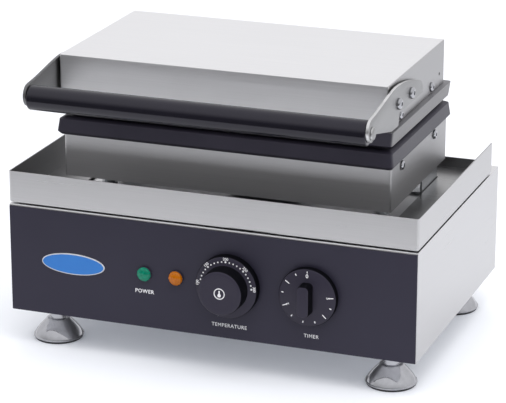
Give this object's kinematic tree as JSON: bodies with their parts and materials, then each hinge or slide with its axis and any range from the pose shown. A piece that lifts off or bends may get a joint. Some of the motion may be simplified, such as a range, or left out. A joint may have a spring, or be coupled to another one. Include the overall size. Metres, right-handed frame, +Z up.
{
  "type": "waffle maker",
  "caption": "Countertop waffle maker: cast plates under a hinged steel lid with a bar handle, on a pedestal in a drip tray, with lamps, temperature and timer knobs, and levelling feet",
  "frame": {"origin": "on the table under the middle of the part's bounding box", "axes": "+X right as seen from the front, +Y towards the back, +Z up"},
  "size_m": [0.45, 0.3616, 0.3164],
  "materials": {
    "steel": "brushed stainless sheet",
    "fascia": "matt black printed fascia",
    "zinc": "zinc-plated steel",
    "cast_iron": "dark seasoned casting",
    "heater": "oxidised heater sheath",
    "ceramic": "unglazed white ceramic",
    "copper": "bare copper",
    "knob_black": "satin black moulding",
    "green_lens": "translucent green lens",
    "amber_lens": "translucent amber lens",
    "gland_black": "matt black nylon",
    "grip_black": "glossy black bar",
    "chrome": "polished chrome"
  },
  "bodies": {
    "base": {"cabinet_shell": "steel", "front_fascia": "fascia", "base_plate": "steel", "rear_panel": "steel", "drip_tray": "steel", "wiring_duct": "zinc", "pedestal": "steel", "lower_plate": "cast_iron", "lower_heater": "heater", "lower_heater_clamp": "zinc", "thermostat_body": "ceramic", "sensor_line": "copper", "timer_body": "zinc", "safety_cutout": "ceramic", "terminal_block": "ceramic", "green_lamp_body": "knob_black", "green_lamp_lens": "green_lens", "amber_lamp_body": "knob_black", "amber_lamp_lens": "amber_lens", "mains_gland": "gland_black", "pedestal_gland": "gland_black", "support_left": "zinc", "standoff_left": "zinc", "hinge_pin_left": "zinc", "support_right": "zinc", "standoff_right": "zinc", "hinge_pin_right": "zinc", "pedestal_screw_front_left": "chrome", "pedestal_screw_rear_left": "chrome", "pedestal_screw_front_right": "chrome", "pedestal_screw_rear_right": "chrome"},
    "lid": {"upper_plate": "cast_iron", "upper_heater": "heater", "upper_heater_clamp": "zinc", "lid_cover": "steel", "lid_gland": "gland_black", "handle": "grip_black", "bracket_left": "steel", "handle_bolt_left": "chrome", "bracket_right": "steel", "handle_bolt_right": "chrome", "cover_screw_front_left": "chrome", "cover_screw_rear_left": "chrome", "cover_screw_front_right": "chrome", "cover_screw_rear_right": "chrome", "bracket_bolt_front_left": "chrome", "bracket_bolt_rear_left": "chrome", "bracket_bolt_front_right": "chrome", "bracket_bolt_rear_right": "chrome"},
    "temperature_control": {"temperature_knob": "knob_black", "thermostat_shaft": "zinc"},
    "timer_control": {"timer_knob": "knob_black", "timer_shaft": "zinc"},
    "foot_front_left": {"foot_front_left": "chrome"},
    "foot_front_right": {"foot_front_right": "chrome"},
    "foot_rear_left": {"foot_rear_left": "chrome"},
    "foot_rear_right": {"foot_rear_right": "chrome"}
  },
  "joints": [
    {"name": "lid_hinge", "type": "hinge", "parent": "base", "child": "lid", "pos_m": [0, 0.12202, 0.2491], "axis": [-1, 0, 0], "range_deg": [0, 95]},
    {"name": "temperature_turn", "type": "hinge", "parent": "base", "child": "temperature_control", "pos_m": [0.024, -0.15, 0.0994], "axis": [0, -1, 0], "range_deg": [0, 280]},
    {"name": "timer_turn", "type": "hinge", "parent": "base", "child": "timer_control", "pos_m": [0.1115, -0.15, 0.0994], "axis": [0, 1, 0], "range_deg": [0, 270]},
    {"name": "foot_front_left_turn", "type": "hinge", "parent": "base", "child": "foot_front_left", "pos_m": [-0.1883, -0.10082, 0], "axis": [0, 0, 1], "continuous": true},
    {"name": "foot_front_right_turn", "type": "hinge", "parent": "base", "child": "foot_front_right", "pos_m": [0.1883, -0.10082, 0], "axis": [0, 0, 1], "continuous": true},
    {"name": "foot_rear_left_turn", "type": "hinge", "parent": "base", "child": "foot_rear_left", "pos_m": [-0.1883, 0.13128, 0], "axis": [0, 0, 1], "continuous": true},
    {"name": "foot_rear_right_turn", "type": "hinge", "parent": "base", "child": "foot_rear_right", "pos_m": [0.1883, 0.13128, 0], "axis": [0, 0, 1], "continuous": true}
  ]
}
